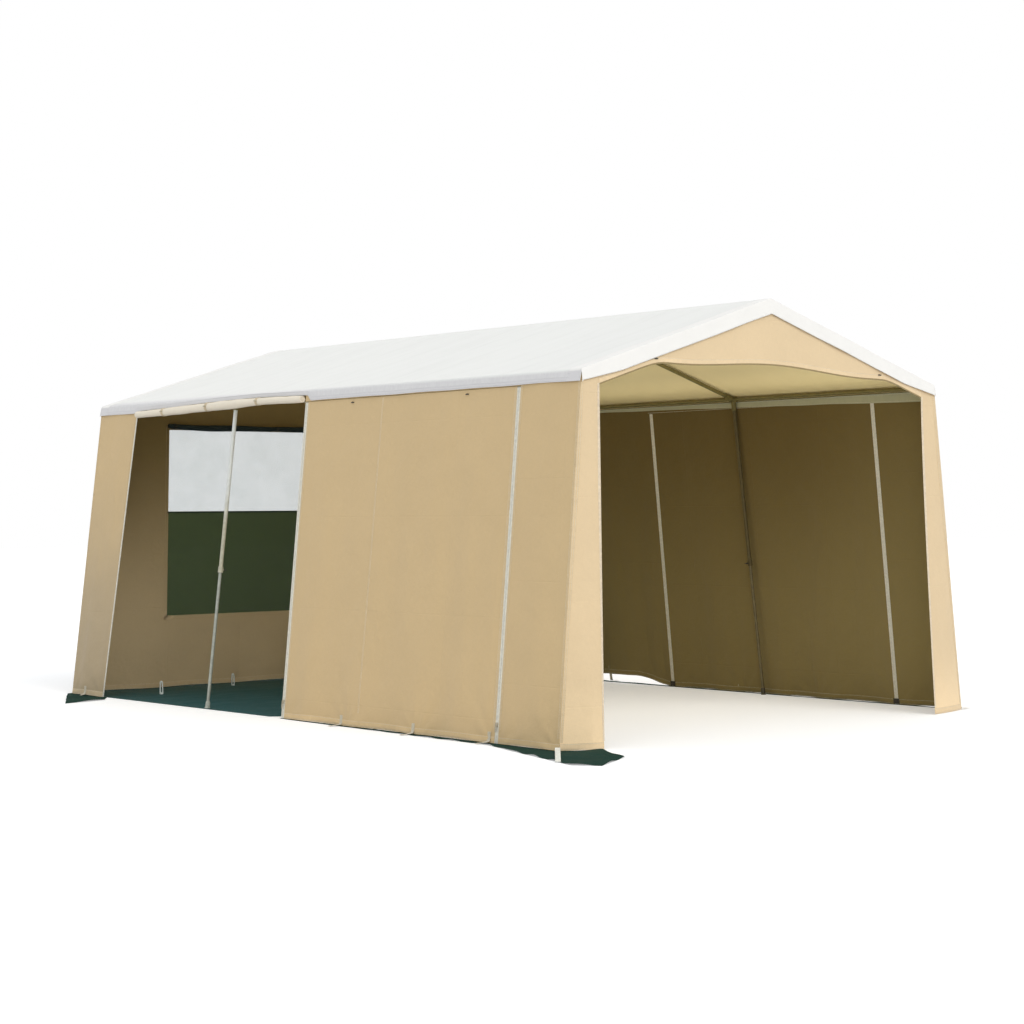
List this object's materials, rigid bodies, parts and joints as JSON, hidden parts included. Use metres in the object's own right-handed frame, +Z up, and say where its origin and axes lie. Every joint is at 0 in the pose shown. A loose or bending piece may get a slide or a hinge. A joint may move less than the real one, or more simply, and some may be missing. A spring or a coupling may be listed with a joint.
{
  "type": "group tent",
  "caption": "Ridge-roofed group tent on telescopic steel arches, with canvas side walls, zipped side doors, a rear window and an open front.",
  "frame": {"origin": "on the ground, in the middle of the plan that the walls and ground flaps cover", "axes": "+X towards the open front gable, +Y towards the side wall that is closed all along, +Z up"},
  "size_m": [6.16, 4.196, 2.455],
  "materials": {
    "frame_steel": "satin olive paint",
    "leg_steel": "zinc plated",
    "canvas": "matt woven sand cloth",
    "pale_canvas": "matt woven pale sand cloth",
    "roof_cloth": "smooth coated white cloth",
    "window_film": "clear film",
    "window_mesh": "dark green insect mesh",
    "blind": "matt near-black cloth",
    "groundsheet": "coated teal cloth",
    "mud_flap": "coated dark green cloth",
    "zip": "cream zip tape",
    "slider_metal": "plated"
  },
  "bodies": {
    "tent": {"rafter_near_rear": "frame_steel", "upper_leg_near_rear": "frame_steel", "rafter_near_mid_rear": "frame_steel", "upper_leg_near_mid_rear": "frame_steel", "rafter_near_mid_front": "frame_steel", "upper_leg_near_mid_front": "frame_steel", "rafter_near_front": "frame_steel", "upper_leg_near_front": "frame_steel", "rafter_far_rear": "frame_steel", "upper_leg_far_rear": "frame_steel", "rafter_far_mid_rear": "frame_steel", "upper_leg_far_mid_rear": "frame_steel", "rafter_far_mid_front": "frame_steel", "upper_leg_far_mid_front": "frame_steel", "rafter_far_front": "frame_steel", "upper_leg_far_front": "frame_steel", "ridge_fitting_rear": "frame_steel", "ridge_fitting_mid_rear": "frame_steel", "ridge_fitting_mid_front": "frame_steel", "ridge_fitting_front": "frame_steel", "ridge_pole": "frame_steel", "eave_pole_near": "frame_steel", "eave_pole_far": "frame_steel", "roof_cover": "roof_cloth", "front_gable": "pale_canvas", "front_strip_near": "pale_canvas", "front_strip_far": "pale_canvas", "near_rear_panel": "canvas", "near_front_wall": "canvas", "near_rolled_door": "canvas", "far_wall": "canvas", "rear_wall": "canvas", "window_film": "window_film", "window_mesh": "window_mesh", "window_blind": "blind", "groundsheet": "groundsheet", "mud_flap_near_rear": "mud_flap", "mud_flap_near_front": "mud_flap", "mud_flap_rear": "mud_flap", "mud_flap_far": "mud_flap", "zip_near_rear": "zip", "zip_near_front": "zip", "zip_far_middle": "zip", "zip_far_front": "zip"},
    "leg_near_rear": {"lower_leg_near_rear": "leg_steel"},
    "leg_near_mid_rear": {"lower_leg_near_mid_rear": "leg_steel"},
    "leg_near_mid_front": {"lower_leg_near_mid_front": "leg_steel"},
    "leg_near_front": {"lower_leg_near_front": "leg_steel"},
    "leg_far_rear": {"lower_leg_far_rear": "leg_steel"},
    "leg_far_mid_rear": {"lower_leg_far_mid_rear": "leg_steel"},
    "leg_far_mid_front": {"lower_leg_far_mid_front": "leg_steel"},
    "leg_far_front": {"lower_leg_far_front": "leg_steel"},
    "near_side_door": {"near_door": "canvas", "zip_near_middle": "zip"},
    "far_side_door": {"far_door": "canvas"},
    "slider_near_middle": {"slider_near_middle": "slider_metal"},
    "slider_near_front": {"slider_near_front": "slider_metal"},
    "slider_far_middle": {"slider_far_middle": "slider_metal"},
    "slider_far_front": {"slider_far_front": "slider_metal"}
  },
  "joints": [
    {"name": "leg_near_rear_height", "type": "slide", "parent": "tent", "child": "leg_near_rear", "axis": [0.0401, 0.0952, 0.9947], "range_m": [0, 0.75]},
    {"name": "leg_near_mid_rear_height", "type": "slide", "parent": "tent", "child": "leg_near_mid_rear", "axis": [0.0401, 0.0952, 0.9947], "range_m": [0, 0.75]},
    {"name": "leg_near_mid_front_height", "type": "slide", "parent": "tent", "child": "leg_near_mid_front", "axis": [-0.04, 0.095, 0.9947], "range_m": [0, 0.75]},
    {"name": "leg_near_front_height", "type": "slide", "parent": "tent", "child": "leg_near_front", "axis": [-0.015, 0.0951, 0.9954], "range_m": [0, 0.75]},
    {"name": "leg_far_rear_height", "type": "slide", "parent": "tent", "child": "leg_far_rear", "axis": [0.0401, -0.0952, 0.9947], "range_m": [0, 0.75]},
    {"name": "leg_far_mid_rear_height", "type": "slide", "parent": "tent", "child": "leg_far_mid_rear", "axis": [0.0401, -0.0952, 0.9947], "range_m": [0, 0.75]},
    {"name": "leg_far_mid_front_height", "type": "slide", "parent": "tent", "child": "leg_far_mid_front", "axis": [-0.04, -0.095, 0.9947], "range_m": [0, 0.75]},
    {"name": "leg_far_front_height", "type": "slide", "parent": "tent", "child": "leg_far_front", "axis": [-0.015, -0.0951, 0.9954], "range_m": [0, 0.75]},
    {"name": "near_side_door_awning", "type": "hinge", "parent": "tent", "child": "near_side_door", "pos_m": [1, -1.46511, 1.932], "axis": [-1, 0, 0], "range_deg": [0, 90]},
    {"name": "far_side_door_awning", "type": "hinge", "parent": "tent", "child": "far_side_door", "pos_m": [1, 1.46511, 1.932], "axis": [1, 0, 0], "range_deg": [0, 90]},
    {"name": "slider_near_middle_travel", "type": "slide", "parent": "near_side_door", "child": "slider_near_middle", "axis": [0, 0.1037, 0.9946], "range_m": [0, 1.76]},
    {"name": "slider_near_front_travel", "type": "slide", "parent": "tent", "child": "slider_near_front", "axis": [-0.0099, 0.1037, 0.9946], "range_m": [0, 1.76]},
    {"name": "slider_far_middle_travel", "type": "slide", "parent": "tent", "child": "slider_far_middle", "axis": [0, -0.1037, 0.9946], "range_m": [0, 1.76]},
    {"name": "slider_far_front_travel", "type": "slide", "parent": "tent", "child": "slider_far_front", "axis": [-0.0099, -0.1037, 0.9946], "range_m": [0, 1.76]}
  ]
}
